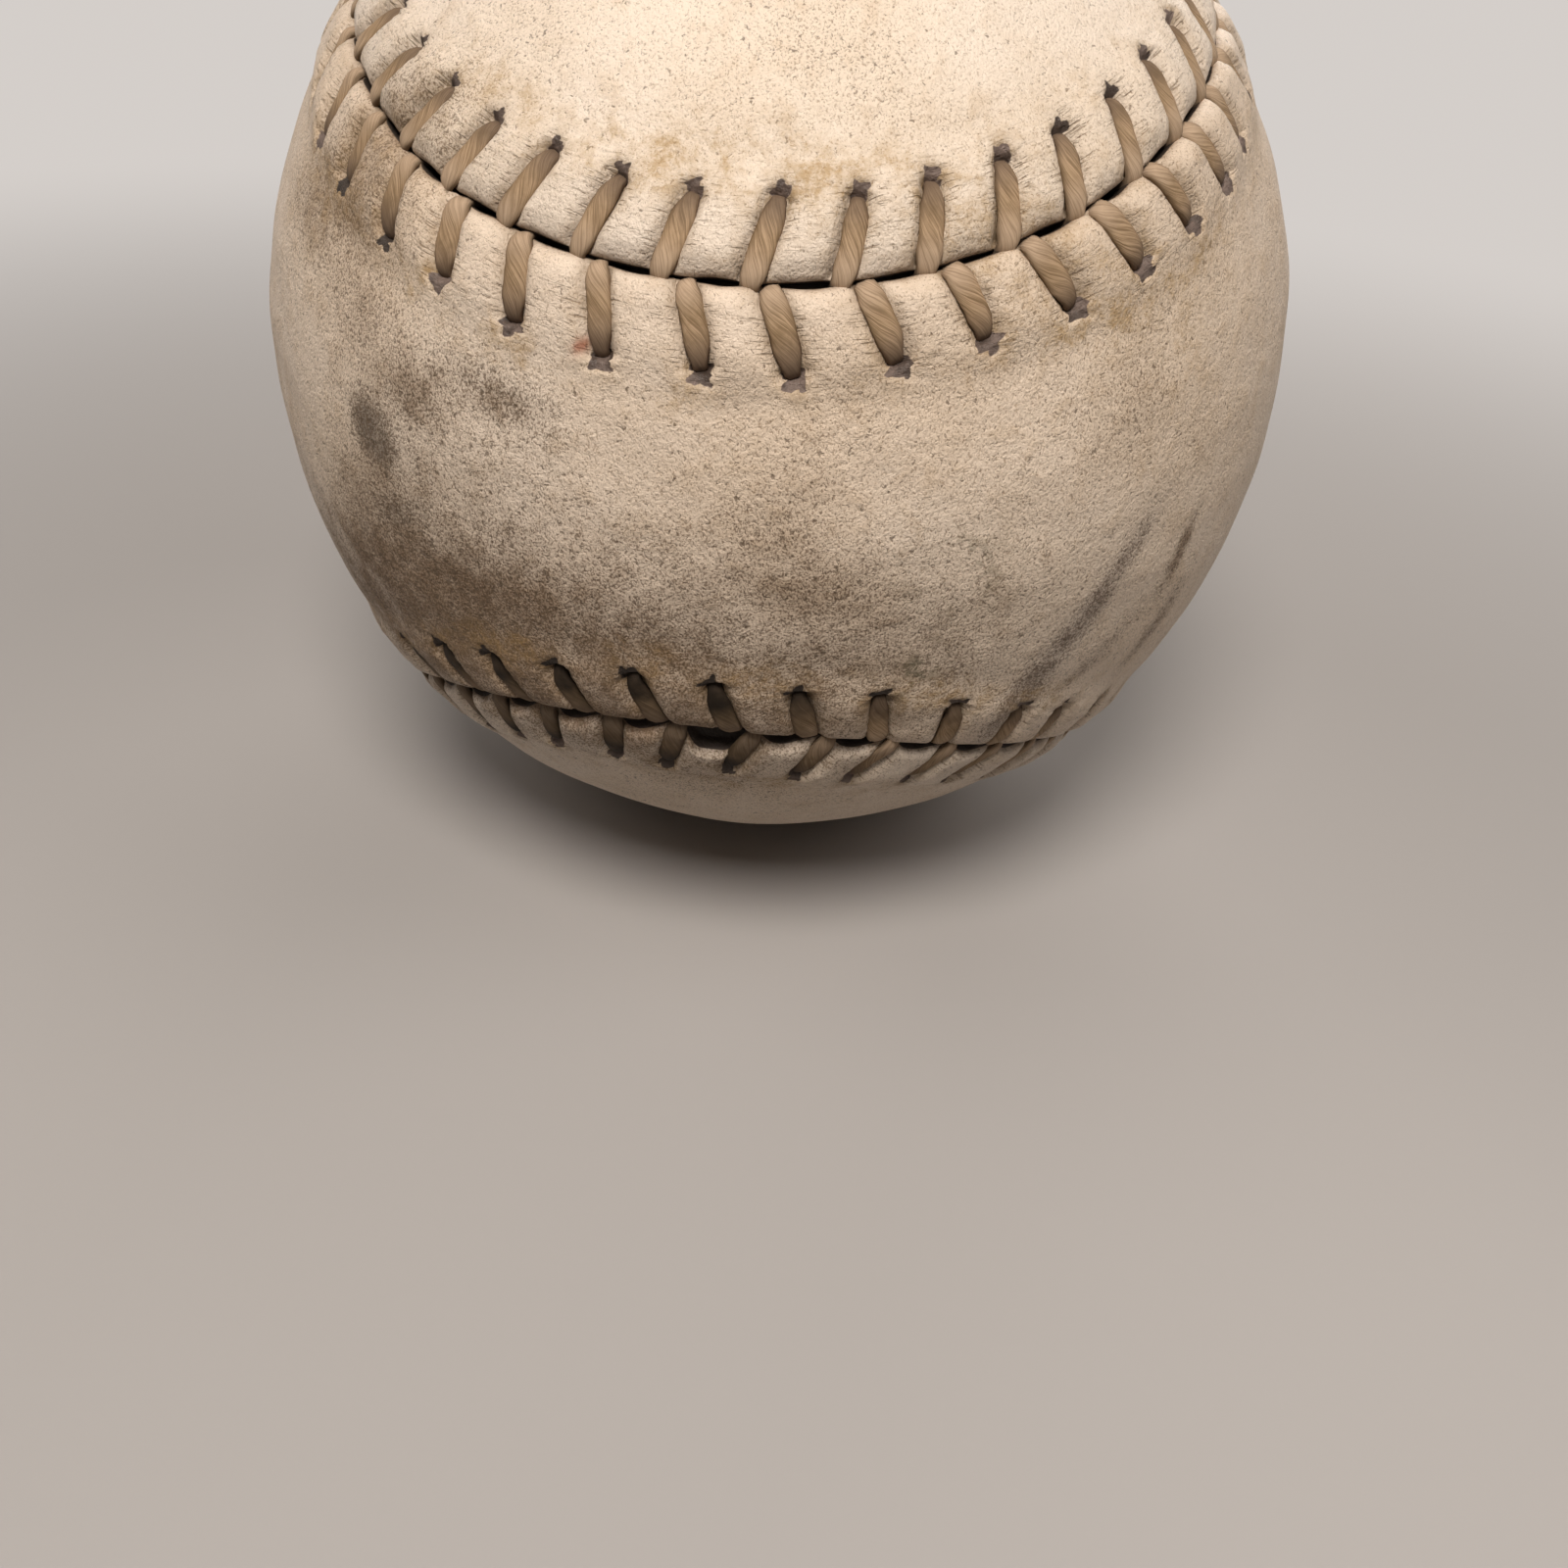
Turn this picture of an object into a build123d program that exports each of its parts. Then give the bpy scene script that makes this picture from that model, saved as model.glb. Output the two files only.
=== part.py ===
"""A twelve-inch softball, in the pieces that it is sewn together from.

A pressed cork core is wound with cord, the last turns are set in latex, and two figure-eight leather
panels are bonded over them and sewn edge to edge with two threads. The origin is the middle of the
ball. -Y looks at the middle of the front panel, whose lobes lie along X, and +Y at the middle of the
back panel, whose lobes lie along Z.
"""

import os
from math import cos, pi, sin, tan

from build123d import *
from build123d.topology import SkipClean

# The ball and its layers, in millimetres
ball_circumference = 304.8  # round the leather: the twelve-inch size
leather_thickness = 1.5
bonded_thickness = 2.4  # the outer turns of cord, set in latex
cork_diameter = 76.0
layer_gap = 0.05  # between one layer and the next

# The seam between the two panels
waist_width = 36.6  # across the narrow middle of a panel, from seam to seam along the leather
lobe_swell = 0.334  # share of the seam's third wave: more of it gives fuller lobes
seam_points = 96

# The stitches: each runs over the leather from its hole and down into the seam
stitch_count = 88  # on each panel
first_stitch = 1.9  # from the middle of the front panel's upper edge, along to a stitch
stitch_reach = 6.2  # from the seam across to a hole
back_lean = 2.1  # from where a back stitch enters the seam, along to its hole
front_lean = 1.6
crossing_step = 1.75  # from a back stitch along to the front stitch beside it in the seam
thread_diameter = 1.1
thread_room = 0.25  # round the thread in a hole and in the seam
thread_lift = 0.2  # from the leather to the thread, above it and below it
channel_room = 0.3  # round the thread in the channel under the leather
thread_end_gap = 1.0  # between the two ends of a thread, under the leather

# Worked out from the sizes above
ball_radius = ball_circumference / (2 * pi)
leather_inside = ball_radius - leather_thickness
bonded_outside = leather_inside - layer_gap
bonded_inside = bonded_outside - bonded_thickness
winding_outside = bonded_inside - layer_gap
cork_radius = cork_diameter / 2
winding_inside = cork_radius + layer_gap
thread_radius = thread_diameter / 2
hole_radius = thread_radius + thread_room
thread_top = ball_radius + thread_lift + thread_radius
thread_low = leather_inside - thread_lift - thread_radius
thread_bend = thread_diameter
channel_floor = thread_low - thread_radius - channel_room
channel_half_width = stitch_reach + thread_radius + channel_room


def seam_direction(lap):
    """The way from the middle of the ball to the seam, at a share of one lap."""
    angle = 2 * pi * lap
    first_wave = 1 - lobe_swell
    height = (first_wave - lobe_swell) / tan(waist_width / 2 / ball_radius)
    return Vector(
        first_wave * sin(angle) + lobe_swell * sin(3 * angle),
        -height * cos(2 * angle),
        first_wave * cos(angle) - lobe_swell * cos(3 * angle),
    ).normalized()


def seam_loop(radius):
    """The seam as a closed curve at a distance from the middle of the ball."""
    points = [seam_direction(i / seam_points) * radius for i in range(seam_points)]
    with BuildLine() as loop:
        Spline(*points, periodic=True)
    return loop.wire()


seam = seam_loop(ball_radius)
seam_guide = seam_loop(2 * ball_radius)
seam_length = seam.length
stitch_pitch = seam_length / stitch_count


def over_seam(station, along, across, radius):
    """A point by its stitch station, its way along the seam and across it (+ is the back panel)."""
    way = (first_stitch + station * stitch_pitch + along) % seam_length
    out = seam.position_at(way, PositionMode.LENGTH).normalized()
    ahead = seam.tangent_at(way, position_mode=PositionMode.LENGTH)
    angle = across / ball_radius
    return (out * cos(angle) + out.cross(ahead) * sin(angle)) * radius


def seam_band(half_width, floor, top):
    """A band along the whole seam, between two distances from the middle of the ball."""
    out = seam.position_at(0).normalized()
    ahead = seam.tangent_at(0)
    angle = half_width / ball_radius
    low = [(floor * sin(turn), floor * cos(turn)) for turn in (-angle, 0, angle)]
    high = [(top * sin(turn), top * cos(turn)) for turn in (angle, 0, -angle)]
    with BuildPart() as band:
        with BuildSketch(Plane(origin=(0, 0, 0), x_dir=out.cross(ahead), z_dir=ahead)):
            with BuildLine():
                ThreePointArc(*low)
                Line(low[-1], high[0])
                ThreePointArc(*high)
                Line(high[-1], low[0])
            make_face()
        sweep(path=seam, binormal=seam_guide)
    return band.part


def hollow_ball(outside, inside):
    """A hollow ball in eight equal pieces, so that no face goes right round it."""
    with BuildPart() as eighths:
        Sphere(outside)
        Sphere(inside, mode=Mode.SUBTRACT)
        for plane in (Plane.XY, Plane.YZ, Plane.XZ):
            split(bisect_by=plane, keep=Keep.BOTH)
    return eighths.part.solids()


def stitch_points(station, side):
    """A stitch from under its hole, up, over the leather and down the seam. side 1 is the back panel."""
    enter = 0 if side > 0 else crossing_step
    lean = back_lean if side > 0 else front_lean
    return [
        over_seam(station, enter + lean, side * stitch_reach, thread_low),
        over_seam(station, enter + lean, side * stitch_reach, thread_top),
        over_seam(station, enter, 0, thread_top),
        over_seam(station, enter, 0, thread_low),
    ]


def stitch_holes(side):
    """One round hole through a panel for each of its stitches."""
    holes = []
    for station in range(stitch_count):
        below, above = stitch_points(station, side)[:2]
        with BuildPart() as hole:
            with BuildSketch(Plane(origin=below, z_dir=above - below)):
                Circle(hole_radius)
            extrude(amount=thread_top - thread_low)
        holes.append(hole.part)
    return holes


def thread_runs(first_side):
    """A thread's route, stitch by stitch down the stations, from panel to panel and round to its start.

    Each run starts and ends halfway along the thread's way under the leather.
    """
    sides = [first_side if i % 2 == 0 else -first_side for i in range(stitch_count)]
    stitches = [stitch_points(-i, sides[i]) for i in range(stitch_count)]
    runs = []
    for i in range(stitch_count):
        before = stitches[i - 1][-1]
        after = stitches[(i + 1) % stitch_count][0]
        start = (before + stitches[i][0]) / 2
        end = (stitches[i][-1] + after) / 2
        runs.append([start, *stitches[i], end])
    first_run, last_run = runs[0], runs[-1]
    first_run[0] += (first_run[1] - first_run[0]).normalized() * thread_end_gap / 2
    last_run[-1] += (last_run[-2] - last_run[-1]).normalized() * thread_end_gap / 2
    return runs


def thread_path(first_side):
    """A thread's route as straight runs joined by bends."""
    with BuildLine() as path:
        for run in thread_runs(first_side):
            FilletPolyline(*run, radius=thread_bend)
    return path.wire()


# Cork core
with BuildPart() as cork_core:
    Sphere(cork_radius)

# Cord winding
with BuildPart() as cord_winding:
    Sphere(winding_outside)
    Sphere(winding_inside, mode=Mode.SUBTRACT)

# Outer turns set in latex, with the channel that the threads run in under the leather
bonded_eighths = hollow_ball(bonded_outside, bonded_inside)
thread_channel = seam_band(channel_half_width, channel_floor, ball_radius)
with SkipClean(), BuildPart() as latex_bonded_layer:
    add(bonded_eighths, clean=False)
    add(thread_channel, mode=Mode.SUBTRACT, clean=False)

# Leather panels, parted by the seam and holed for the stitches
cover_eighths = hollow_ball(ball_radius, leather_inside)
seam_slot = seam_band(hole_radius, thread_low, thread_top)
with SkipClean(), BuildPart() as cover:
    add(cover_eighths, clean=False)
    add(seam_slot, mode=Mode.SUBTRACT, clean=False)
front_blank, back_blank = cover.part.solids().sort_by(Axis.Y)
front_holes = stitch_holes(-1)
back_holes = stitch_holes(1)
with SkipClean(), BuildPart() as cover_panel_front:
    add(front_blank, clean=False)
    add(front_holes, mode=Mode.SUBTRACT, clean=False)
with SkipClean(), BuildPart() as cover_panel_back:
    add(back_blank, clean=False)
    add(back_holes, mode=Mode.SUBTRACT, clean=False)

# Seam threads: one starts on the back panel and one on the front panel
thread_a_path = thread_path(1)
thread_b_path = thread_path(-1)
with BuildPart() as seam_thread_a:
    with BuildSketch(Plane(origin=thread_a_path @ 0, z_dir=thread_a_path % 0)):
        Circle(thread_radius)
    sweep(path=thread_a_path)
with BuildPart() as seam_thread_b:
    with BuildSketch(Plane(origin=thread_b_path @ 0, z_dir=thread_b_path % 0)):
        Circle(thread_radius)
    sweep(path=thread_b_path)

pieces = {
    "cork_core": cork_core.part,
    "cord_winding": cord_winding.part,
    "latex_bonded_layer": latex_bonded_layer.part,
    "cover_panel_front": cover_panel_front.part,
    "cover_panel_back": cover_panel_back.part,
    "seam_thread_a": seam_thread_a.part,
    "seam_thread_b": seam_thread_b.part,
}
os.makedirs("parts", exist_ok=True)
for name, piece in pieces.items():
    piece.label = name
    export_step(piece, f"parts/{name}.step")

section = pi * thread_radius**2
for path, thread in ((thread_a_path, seam_thread_a), (thread_b_path, seam_thread_b)):
    print("thread", round(path.length), "mm long, bends", thread_bend, "mm,", end=" ")
    print("volume", round(thread.part.volume, 1), "and by its section", round(path.length * section, 1))
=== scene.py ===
"""The softball's looks: puckered leather panels, flattened threads, aged materials, light and camera."""

import bpy
import numpy as np
from mathutils import Matrix, Vector
from mathutils.geometry import delaunay_2d_cdt
from mathutils.kdtree import KDTree


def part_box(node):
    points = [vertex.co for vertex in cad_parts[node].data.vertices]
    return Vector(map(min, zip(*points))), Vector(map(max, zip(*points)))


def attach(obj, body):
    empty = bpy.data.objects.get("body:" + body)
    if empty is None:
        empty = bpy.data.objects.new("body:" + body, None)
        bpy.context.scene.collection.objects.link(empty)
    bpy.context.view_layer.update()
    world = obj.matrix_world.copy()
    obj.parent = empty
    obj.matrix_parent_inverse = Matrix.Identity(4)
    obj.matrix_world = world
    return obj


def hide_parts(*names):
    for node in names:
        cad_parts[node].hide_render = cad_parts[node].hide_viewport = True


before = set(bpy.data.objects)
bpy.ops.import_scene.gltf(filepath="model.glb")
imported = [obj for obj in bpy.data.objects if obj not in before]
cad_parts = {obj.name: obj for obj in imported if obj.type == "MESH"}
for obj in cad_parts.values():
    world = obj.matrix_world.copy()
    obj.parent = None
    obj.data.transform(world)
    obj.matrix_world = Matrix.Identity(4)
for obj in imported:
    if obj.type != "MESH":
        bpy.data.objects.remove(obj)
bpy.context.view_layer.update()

MM = 0.001
BACK = 1
FRONT = -1

# Sizes of the part, in millimetres
panel_low, panel_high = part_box("cover_panel_front")
ball_radius = (panel_high.x - panel_low.x) / 2 / MM
leather_thickness = 1.5
waist_width = 36.6
lobe_swell = 0.334
stitch_count = 88
first_stitch = 1.9
stitch_reach = 6.2
crossing_step = 1.75
enter = {BACK: 0.0, FRONT: crossing_step}

# The stitches as they look, and how much one differs from another
lean = {BACK: 2.0, FRONT: 1.55}
hole_away = {BACK: 5.7, FRONT: 5.9}
hole_mouth = {BACK: 0.72, FRONT: 0.84}
usual_bow = 0.12
entry_spread = 0.12
lean_spread = 0.22
reach_spread = 0.2
bow_spread = 0.12
width_spread = 0.06
lift_spread = 0.04

# The gap from the seam's middle line to a panel's edge
gap_at_stitch = 0.05
gap_between = 0.15
gap_waver = 0.04
gap_loose = 0.75
gap_torn = {BACK: 2.0, FRONT: 0.15}
gap_widest = 2.6
torn_half_length = 2.7
torn_azimuth = np.radians(1.8)
torn_elevation = np.radians(-21.9)

# The leather's puckers by the seam
pillow_height = 0.58
pillow_waver = 0.07
pillow_span = (-0.3, 1.7, 4.7, 8.8)  # from the seam: where it starts, is full, wanes and ends
bulge_height = 0.16
bulge_span = (0.5, 2.4, 4.0, 7.0)
groove_depth = 1.0
groove_half_width = 1.05
ray_height = 0.045
ray_count = 9
ray_reach = 2.0
arc_height = 0.025
arc_pitch = 0.95
arc_sag = 1.1
arc_span = (2.5, 4.5, 6.5, 8.5)
hole_depth = 0.32
roll_radius = 0.5

# The mesh of a panel: a strip of rows along the seam, then an even spread of points
strip_width = 11.0
roll_rows = np.array([0.0, 0.05, 0.13, 0.24, 0.38, 0.56, 0.78])
strip_rows = np.concatenate([
    roll_rows, np.arange(1.05, 4.9, 0.29), np.arange(5.1, 8.0, 0.21), np.linspace(8.3, 10.2, 5),
])
columns_per_stitch = 18
spread_points = 60000
under_spread_points = 5000
under_height = -leather_thickness + 0.04
under_insets = (strip_width - 0.4, 6.0, 1.2)
edge_set_in = 0.05
edge_low = -1.0

# How far dirt spreads on a panel, how wide the darkening along the threads' grooves is, and how wide the
# black painted shade on the panel's edge in the seam's gap is
edge_dirt_width = 0.3
seam_dirt_width = 3.5
groove_dark_width = 1.25
black_edge_width = 0.06

# The threads: half widths, half thicknesses, and heights over the leather
thread_half_width = 0.98
thread_share = {BACK: 0.92, FRONT: 1.0}
narrower_at_hole = 0.42
narrower_at_seam = 0.26
hole_taper = 1.9
seam_taper = 1.3
thread_half_thickness = 0.34
hidden_more_thickness = 0.16
hidden_half_width = 0.55
hidden_height = -2.25
hidden_shares = np.array([0.15, 0.38, 0.62, 0.85])
past_seam = {BACK: 0.30, FRONT: -0.15}
hole_setback = 0.30
dip_distances = np.array([0.0, 0.0, 0.07, 0.2, 0.45, 0.8])
dip_heights = np.array([-1.9, -1.3, -0.8, -0.42, -0.17, -0.04])
level_start = 1.25
level_points = 13
level_height = 0.04
thread_sides = 20
thread_squareness = 0.8
strand_count = 5
strand_height = 0.012
strand_turn = 0.7  # radians for each millimetre
fuzz_height = 0.035
fibre_twist = 0.11  # turns for each millimetre


def smooth(value, start, end):
    """Rises from 0 to 1 between start and end, with soft ends."""
    share = np.clip((value - start) / (end - start), 0, 1)
    return share * share * (3 - 2 * share)


def hump(value, start, full, waning, end):
    """Rises from 0 to 1 between start and full, and falls back to 0 between waning and end."""
    return smooth(value, start, full) * (1 - smooth(value, waning, end))


def unit(vectors):
    return vectors / np.linalg.norm(vectors, axis=-1, keepdims=True)


def towards(azimuth, elevation):
    """The direction at an azimuth from -Y and an elevation, in radians."""
    level = np.cos(elevation)
    return np.array([np.sin(azimuth) * level, -np.cos(azimuth) * level, np.sin(elevation)])


def ripple(points, wavelength, seed, waves=16):
    """Smooth noise of about unit strength: a sum of seeded waves in all directions."""
    draw = np.random.default_rng(seed)
    ways = unit(draw.normal(size=(waves, points.shape[-1])))
    ways = ways * draw.uniform(0.6, 1.5, (waves, 1)) * 2 * np.pi / wavelength
    phases = draw.uniform(0, 2 * np.pi, waves)
    return np.sin(points @ ways.T + phases).sum(axis=-1) * np.sqrt(2 / waves)


# The seam, as a fine table of directions by way along it
table_angle = np.linspace(0, 2 * np.pi, 24001)
first_wave = 1 - lobe_swell
seam_height = (first_wave - lobe_swell) / np.tan(waist_width / 2 / ball_radius)
table_out = unit(np.stack([
    first_wave * np.sin(table_angle) + lobe_swell * np.sin(3 * table_angle),
    -seam_height * np.cos(2 * table_angle),
    first_wave * np.cos(table_angle) - lobe_swell * np.cos(3 * table_angle),
], axis=1))
table_step = np.linalg.norm(np.diff(table_out, axis=0), axis=1) * ball_radius
table_way = np.concatenate([[0], np.cumsum(table_step)])
table_ahead = unit(np.gradient(table_out, axis=0))
table_ahead[0] = table_ahead[-1] = unit(table_out[1] - table_out[-2])
seam_length = table_way[-1]
stitch_pitch = seam_length / stitch_count

# The seam has come open between two stitches, below the middle of the front panel
torn_way = table_way[np.argmax(table_out @ towards(torn_azimuth, torn_elevation))]
torn_way = first_stitch + (np.floor((torn_way - first_stitch) / stitch_pitch) + 0.5) * stitch_pitch


def seam_frame(way):
    """The way out, the way ahead and the way across (towards the back panel) along the seam."""
    way = np.mod(way, seam_length)
    out = unit(np.stack([np.interp(way, table_way, table_out[:, i]) for i in range(3)], axis=-1))
    ahead = np.stack([np.interp(way, table_way, table_ahead[:, i]) for i in range(3)], axis=-1)
    ahead = unit(ahead - out * (ahead * out).sum(axis=-1, keepdims=True))
    return out, ahead, np.cross(out, ahead)


def over_ball(way, across):
    """The direction of a point by its way along the seam and its way across it."""
    out, _, side = seam_frame(way)
    turn = (np.asarray(across) / ball_radius)[..., None]
    return out * np.cos(turn) + side * np.sin(turn)


# Each stitch leans and reaches a little differently
draw = np.random.default_rng(7)
stitches = {}
for panel in (BACK, FRONT):
    even_entry = first_stitch + enter[panel] + np.arange(stitch_count) * stitch_pitch
    stitches[panel] = {
        "entry": even_entry + draw.normal(0, entry_spread, stitch_count),
        "lean": lean[panel] + draw.normal(0, lean_spread, stitch_count),
        "reach": hole_away[panel] + draw.normal(0, reach_spread, stitch_count),
        "bow": draw.normal(usual_bow, bow_spread, stitch_count),
        "width": draw.normal(1.0, width_spread, stitch_count),
        "lift": draw.normal(0.0, lift_spread, stitch_count),
        "spin": draw.uniform(0, 2 * np.pi, stitch_count),
    }


def undulation(direction):
    """Slow unevenness of an old ball, in millimetres."""
    points = direction * ball_radius
    slow = 0.10 * ripple(points, wavelength=24, seed=3)
    return slow + 0.035 * ripple(points, wavelength=9, seed=4)


def stitch_field(way, away, panel):
    """How points beside the seam lie from the nearest stitch of their panel."""
    sewn = stitches[panel]
    share = np.clip(away / stitch_reach, 0, 1.15)
    station = (way - first_stitch - enter[panel] - lean[panel] * share) / stitch_pitch
    nearest = np.rint(station).astype(int) % stitch_count
    along = way - sewn["entry"][nearest]
    along = along - seam_length * np.rint(along / seam_length)
    hole_along = sewn["lean"][nearest]
    reach = sewn["reach"][nearest]
    length = np.hypot(hole_along, reach)
    run = (along * hole_along + away * reach) / length**2
    beyond = (run - 1) * length
    run = np.clip(run, 0, 1)
    hole_x = along - hole_along
    hole_y = away - reach
    return {
        "thread": np.hypot(along - run * hole_along, away - run * reach),
        "hole": np.hypot(hole_x, hole_y),
        "bearing": np.arctan2(hole_y, hole_x) + sewn["spin"][nearest],
        "between": 0.5 - 0.5 * np.cos(2 * np.pi * (along - hole_along * away / reach) / stitch_pitch),
        "beyond": beyond,
        "hole_x": hole_x,
        "mouth": hole_mouth[panel],
    }


def hole_shape(field):
    """1 inside the torn, star-shaped mouth of a stitch hole, falling to 0 outside it."""
    bearing = field["bearing"]
    mouth = field["mouth"] * (1 + 0.24 * np.cos(4 * bearing) + 0.15 * np.cos(7 * bearing + 1))
    return 1 - smooth(field["hole"], 0.7 * mouth, 1.2 * mouth)


def half_gap(way, panel):
    """From the seam's middle line to a panel's edge: shut at the stitches and open between them."""
    middle = first_stitch + crossing_step / 2
    swing = 0.5 - 0.5 * np.cos(2 * np.pi * (way - middle) / stitch_pitch)
    points = np.stack([way, np.full_like(way, 40.0 * panel)], axis=-1)
    waver = gap_waver * ripple(points, wavelength=5, seed=21 + panel)
    gap = gap_at_stitch + gap_between * swing + waver
    near_tear = np.cos((way - torn_way) / seam_length * 2 * np.pi)
    loose = smooth(near_tear, 0.80, 0.97) * (panel == BACK)
    torn = np.exp(-(np.abs(way - torn_way) / torn_half_length) ** 6)
    gap = gap + gap_loose * loose * swing + gap_torn[panel] * torn
    return np.clip(gap, gap_at_stitch, gap_widest)


def leather_height(way, away, edge_away, panel):
    """Height of the leather over the plain ball near the seam, in millimetres, and its stitch field."""
    field = stitch_field(way, away, panel)
    points = np.stack([way, away + 60.0 * panel], axis=-1)
    pillow = pillow_height + pillow_waver * ripple(points, wavelength=8, seed=34)
    pillow = pillow * hump(away, *pillow_span)
    pillow = pillow + bulge_height * field["between"] * hump(away, *bulge_span)
    before_hole = 1 - smooth(field["beyond"], -0.6, 0.3)
    groove = -groove_depth * np.exp(-(field["thread"] / groove_half_width) ** 4) * before_hole
    ray_fade = np.exp(-(field["hole"] / ray_reach) ** 2) * smooth(field["hole"], 0.7, 1.5)
    rays = np.cos(ray_count * field["bearing"]) * ray_fade
    sagged = away - arc_sag * (field["hole_x"] / stitch_pitch) ** 2
    wander = 1.5 * ripple(points, wavelength=6, seed=31)
    arcs = np.sin(2 * np.pi * sagged / arc_pitch + wander) * field["between"]
    arcs = arcs * hump(away, *arc_span) * smooth(ripple(points, wavelength=7, seed=32), -0.4, 0.8)
    hole = -hole_depth * hole_shape(field)
    inward = np.clip(edge_away, 0, roll_radius)
    roll = np.sqrt(np.maximum(roll_radius**2 - (roll_radius - inward) ** 2, 0)) - roll_radius
    fade = 0.35 + 0.65 * smooth(edge_away, 0.0, roll_radius)
    return (pillow + groove + ray_height * rays + arc_height * arcs + hole) * fade + roll, field


# Soiled places, and low on the front two broad brown marks that are partly painted shade: kind, azimuth and
# elevation in degrees, half length and half width in millimetres, tilt in degrees, strength
marks = (
    ("grey", -34.7, 3.3, 2.6, 1.6, -50, 0.8),
    ("grey", -34.7, 3.3, 2.2, 1.6, -50, 1.0),
    ("grey", -31.0, 5.0, 4.0, 2.2, 40, 0.12),
    ("grey", -32.3, -3.7, 3.0, 1.3, 10, 0.55),
    ("brown", -27.8, 8.6, 3.6, 2.2, 20, 0.40),
    ("brown", -18.1, 9.8, 5.0, 2.4, -15, 0.50),
    ("grey", -20.0, 10.5, 5.0, 1.4, -10, 0.22),
    ("smear", 42.2, -2.7, 3.2, 0.9, 55, 0.7),
    ("smear", 37.6, -11.0, 7.5, 1.5, 62, 1.0),
    ("smear", 33.5, -20.5, 4.5, 2.0, 60, 0.9),
    ("brown", 51.1, -5.0, 3.6, 1.0, 75, 0.9),
    ("brown", 52.6, -15.2, 5.5, 1.2, 70, 0.6),
    ("brown", 43.0, -16.0, 7.0, 1.6, 55, 0.5),
    ("brown", 28.0, 2.0, 15.0, 11.0, 20, 0.16),
    ("brown", 24.0, -8.0, 10.0, 9.0, 0, 0.14),
    ("brown", 36.0, 13.0, 9.0, 6.0, 30, 0.12),
    ("brown", -26.0, 3.0, 13.0, 10.0, 0, 0.36),
    ("brown", -37.0, 13.0, 9.0, 8.0, 0, 0.35),
    ("mould", 23.0, -2.0, 3.0, 2.2, 30, 0.6),
    ("mould", 20.5, -13.0, 2.4, 1.6, 60, 0.65),
    ("yellow", -7.3, 31.2, 8.0, 3.0, 8, 0.75),
    ("yellow", 7.6, 29.8, 7.5, 3.0, 0, 0.7),
    ("yellow", 24.0, 26.0, 9.0, 4.5, -20, 0.6),
    ("yellow", 42.0, 21.0, 14.0, 6.0, -35, 0.5),
    ("yellow", -40.0, 24.0, 12.0, 5.0, 35, 0.4),
    ("yellow", -27.4, 18.1, 1.0, 0.7, 0, 1.0),
    ("red", -11.4, 15.5, 0.7, 0.4, 60, 1.0),
    ("ink", 26.2, -22.3, 0.35, 0.18, 60, 1.0),
    ("ink", 26.3, -25.3, 0.5, 0.25, 0, 1.0),
    # These two are partly dirt and partly painted shade: the front darker towards the bottom
    ("brown", -30.0, -16.0, 25.0, 10.5, 8, 0.85),
    ("brown", -6.0, -20.0, 30.0, 9.0, 0, 0.75),
    ("brown", -36.0, 30.0, 9.0, 5.0, 40, 0.4),
    ("brown", -48.0, 22.0, 10.0, 6.0, 60, 0.35),
    ("brown", 28.0, 19.0, 9.0, 4.0, -20, 0.14),
    ("brown", 6.0, -5.0, 17.0, 9.0, 0, 0.24),
    # From here on the sides and back, which the photograph doesn't show
    ("brown", 120.0, 20.0, 16.0, 9.0, 25, 0.45),
    ("grey", 150.0, -12.0, 9.0, 3.0, 60, 0.5),
    ("brown", -130.0, -15.0, 18.0, 8.0, -30, 0.45),
    ("grey", -160.0, 25.0, 7.0, 2.5, 20, 0.5),
    ("mould", 175.0, 5.0, 3.0, 2.0, 0, 0.35),
    ("yellow", -95.0, 40.0, 12.0, 6.0, 15, 0.5),
    ("brown", 60.0, -45.0, 14.0, 7.0, 10, 0.4),
)


def mark_strength(direction, kind):
    """How strongly one kind of mark lies on each point of the ball."""
    total = np.zeros(direction.shape[:-1])
    for name, azimuth, elevation, half_length, half_width, tilt, strength in marks:
        if name != kind:
            continue
        azimuth, elevation, tilt = np.radians([azimuth, elevation, tilt])
        centre = towards(azimuth, elevation)
        east = np.array([np.cos(azimuth), np.sin(azimuth), 0])
        north = np.cross(centre, east)
        x = direction @ east * ball_radius
        y = direction @ north * ball_radius
        length = (x * np.cos(tilt) + y * np.sin(tilt)) / half_length
        width = (y * np.cos(tilt) - x * np.sin(tilt)) / half_width
        total += strength * np.exp(-(length**2 + width**2)) * (direction @ centre > 0)
    return np.clip(total, 0, 1)


def paint(mesh, name, columns):
    """Stores numbers at the corners of a mesh for its material to read."""
    data = np.ones((len(mesh.vertices), 4), np.float32)
    for i, column in enumerate(columns):
        data[:, i] = column
    mesh.attributes.new(name, "FLOAT_COLOR", "POINT").data.foreach_set("color", data.ravel())


def mesh_object(name, vertices, faces):
    """A smooth mesh from points in millimetres."""
    mesh = bpy.data.meshes.new(name)
    mesh.from_pydata((vertices * MM).tolist(), [], faces)
    mesh.polygons.foreach_set("use_smooth", [True] * len(mesh.polygons))
    mesh.update()
    made = bpy.data.objects.new(name, mesh)
    bpy.context.scene.collection.objects.link(made)
    return made


# Seam points to measure from
seam_columns = stitch_count * columns_per_stitch
seam_tree = KDTree(seam_columns)
column_way = np.arange(seam_columns) * seam_length / seam_columns
column_out, _, column_side = seam_frame(column_way)
for i in range(seam_columns):
    seam_tree.insert(column_out[i], i)
seam_tree.balance()


def even_points(count):
    """Directions spread evenly over a ball."""
    i = np.arange(count) + 0.5
    height = 1 - 2 * i / count
    turn = np.pi * (1 + 5**0.5) * i
    wide = np.sqrt(1 - height**2)
    return np.stack([wide * np.cos(turn), wide * np.sin(turn), height], axis=1)


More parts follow.
